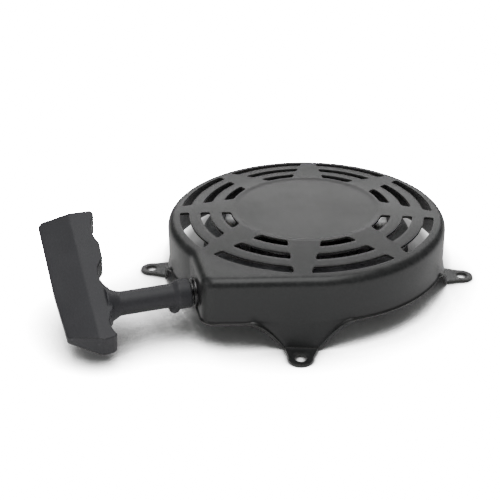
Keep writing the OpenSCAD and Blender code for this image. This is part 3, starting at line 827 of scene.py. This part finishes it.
# %% The grip's own frame: X along the stem, Y along the crossbar, Z through it
GRIP_AZ, GRIP_ROLL = 201.0, 24.0
EXIT_POINT = eyelet_face
GRIP_FRAME = (
    Matrix.Translation(EXIT_POINT)
    @ Matrix.Rotation(math.radians(GRIP_AZ), 4, "Z")
    @ Matrix.Rotation(math.radians(180 - GRIP_ROLL), 4, "X")
)
print("rope leaves the housing at, mm:", [round(c, 2) for c in EXIT_POINT])


def web(bm, outline, half):
    """A closed slab from an outline in the grip's frame, as wide as two halves."""
    rings = []
    for z in (-half, half):
        rings.append([bm.verts.new(GRIP_FRAME @ Vector((x, y, z))) for x, y in outline])
    bm.faces.new(rings[0][::-1])
    bm.faces.new(rings[1])
    count = len(outline)
    for k in range(count):
        n = (k + 1) % count
        bm.faces.new((rings[0][k], rings[0][n], rings[1][n], rings[1][k]))


def fillet(corner, radius, toward):
    """Outline of the web that fills a corner with a hollow curve."""
    x, y = corner
    tx, ty = toward
    heart = (x + tx * radius, y + ty * radius)
    points = [(x - tx * 2, y - ty * 2), (x + tx * radius, y - ty * 2), (x + tx * radius, y)]
    for k in range(1, 8):
        a = math.radians(90 * k / 8)
        points.append((heart[0] - tx * radius * math.sin(a), heart[1] - ty * radius * math.cos(a)))
    points += [(x, y + ty * radius), (x - tx * 2, y + ty * radius)]
    return points


# %% Melt and smooth
# Where the stem meets the crossbar, and the webs there: side, direction, radius and half width
STEM_END = 50.6
WEBS = ((5.6, 1, 7.0, 5.2), (-5.6, -1, 5.5, 5.2))
VOXEL, ROUNDS = 0.5, 6


def mould_grip():
    bm = bmesh.new()
    bm.from_mesh(frame["nodes"]["grip"].data)
    bmesh.ops.scale(bm, vec=(1 / MM,) * 3, verts=bm.verts)
    bmesh.ops.remove_doubles(bm, verts=bm.verts, dist=0.001)
    for y, toward, radius, half in WEBS:
        web(bm, fillet((STEM_END, y), radius, (-1, toward)), half)
    made = finish_object("grip_moulding", bm, "grip_plastic")
    melt = made.modifiers.new("melt", "REMESH")
    melt.mode, melt.voxel_size, melt.use_smooth_shade = "VOXEL", VOXEL * MM, True
    rub = made.modifiers.new("rub", "SMOOTH")
    rub.factor, rub.iterations = 0.5, ROUNDS
    apply_all(made)
    return made


grip = mould_grip()
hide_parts("grip")
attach(grip, "grip")
print("grip:", len(grip.data.vertices), "points")

# %% [markdown]
# ## The rope
# The straight rope runs from the reel, through the eyelet, to its knot in the grip. When the
# grip is pulled, the part between the eyelet and the grip must grow by more than a metre, so
# that part gets very many rings.


# %% Rope with many rings where it stretches, in millimetres
# Where it leaves the reel, a rope's width outside the winding so that the turning reel clears it
LEAVE_AZ, LEAVE_R = 272.6, 63.9
# The stretch that grows, the rest as far as the knot, and the rope's radius when pulled taut
GROW_RUN, KNOT_RUN, ROPE_R = 6.0, 53.6, 1.72
LEAD_RINGS, GROW_RINGS, KNOT_RINGS = 40, 400, 30


def twist_rope():
    start = Vector((*(unit(LEAVE_AZ) * LEAVE_R), ROPE_Z))
    grip_out = unit(GRIP_AZ).to_3d()
    centres = [start.lerp(EXIT_POINT, k / LEAD_RINGS) for k in range(LEAD_RINGS)]
    centres += [EXIT_POINT + grip_out * (GROW_RUN * k / GROW_RINGS) for k in range(GROW_RINGS)]
    for k in range(KNOT_RINGS + 1):
        centres.append(EXIT_POINT + grip_out * (GROW_RUN + KNOT_RUN * k / KNOT_RINGS))
    bm = bmesh.new()
    rings, around = [], 12
    for k, c in enumerate(centres):
        ahead = (centres[min(k + 1, len(centres) - 1)] - centres[max(k - 1, 0)]).normalized()
        across = ahead.cross(Vector((0, 0, 1))).normalized()
        ring = []
        for j in range(around):
            turn = 2 * math.pi * j / around
            p = c + (across * math.cos(turn) + Vector((0, 0, 1)) * math.sin(turn)) * ROPE_R
            ring.append(bm.verts.new(p))
        rings.append(ring)
    for one, other in zip(rings, rings[1:]):
        strip(bm, one + one[:1], other + other[:1])
    bm.faces.new(rings[0][::-1])
    bm.faces.new(rings[-1])
    return finish_object("rope_run", bm, "rope")


rope = twist_rope()
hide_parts("rope_lead")
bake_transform(rope)
print("rope:", len(rope.data.vertices), "points")
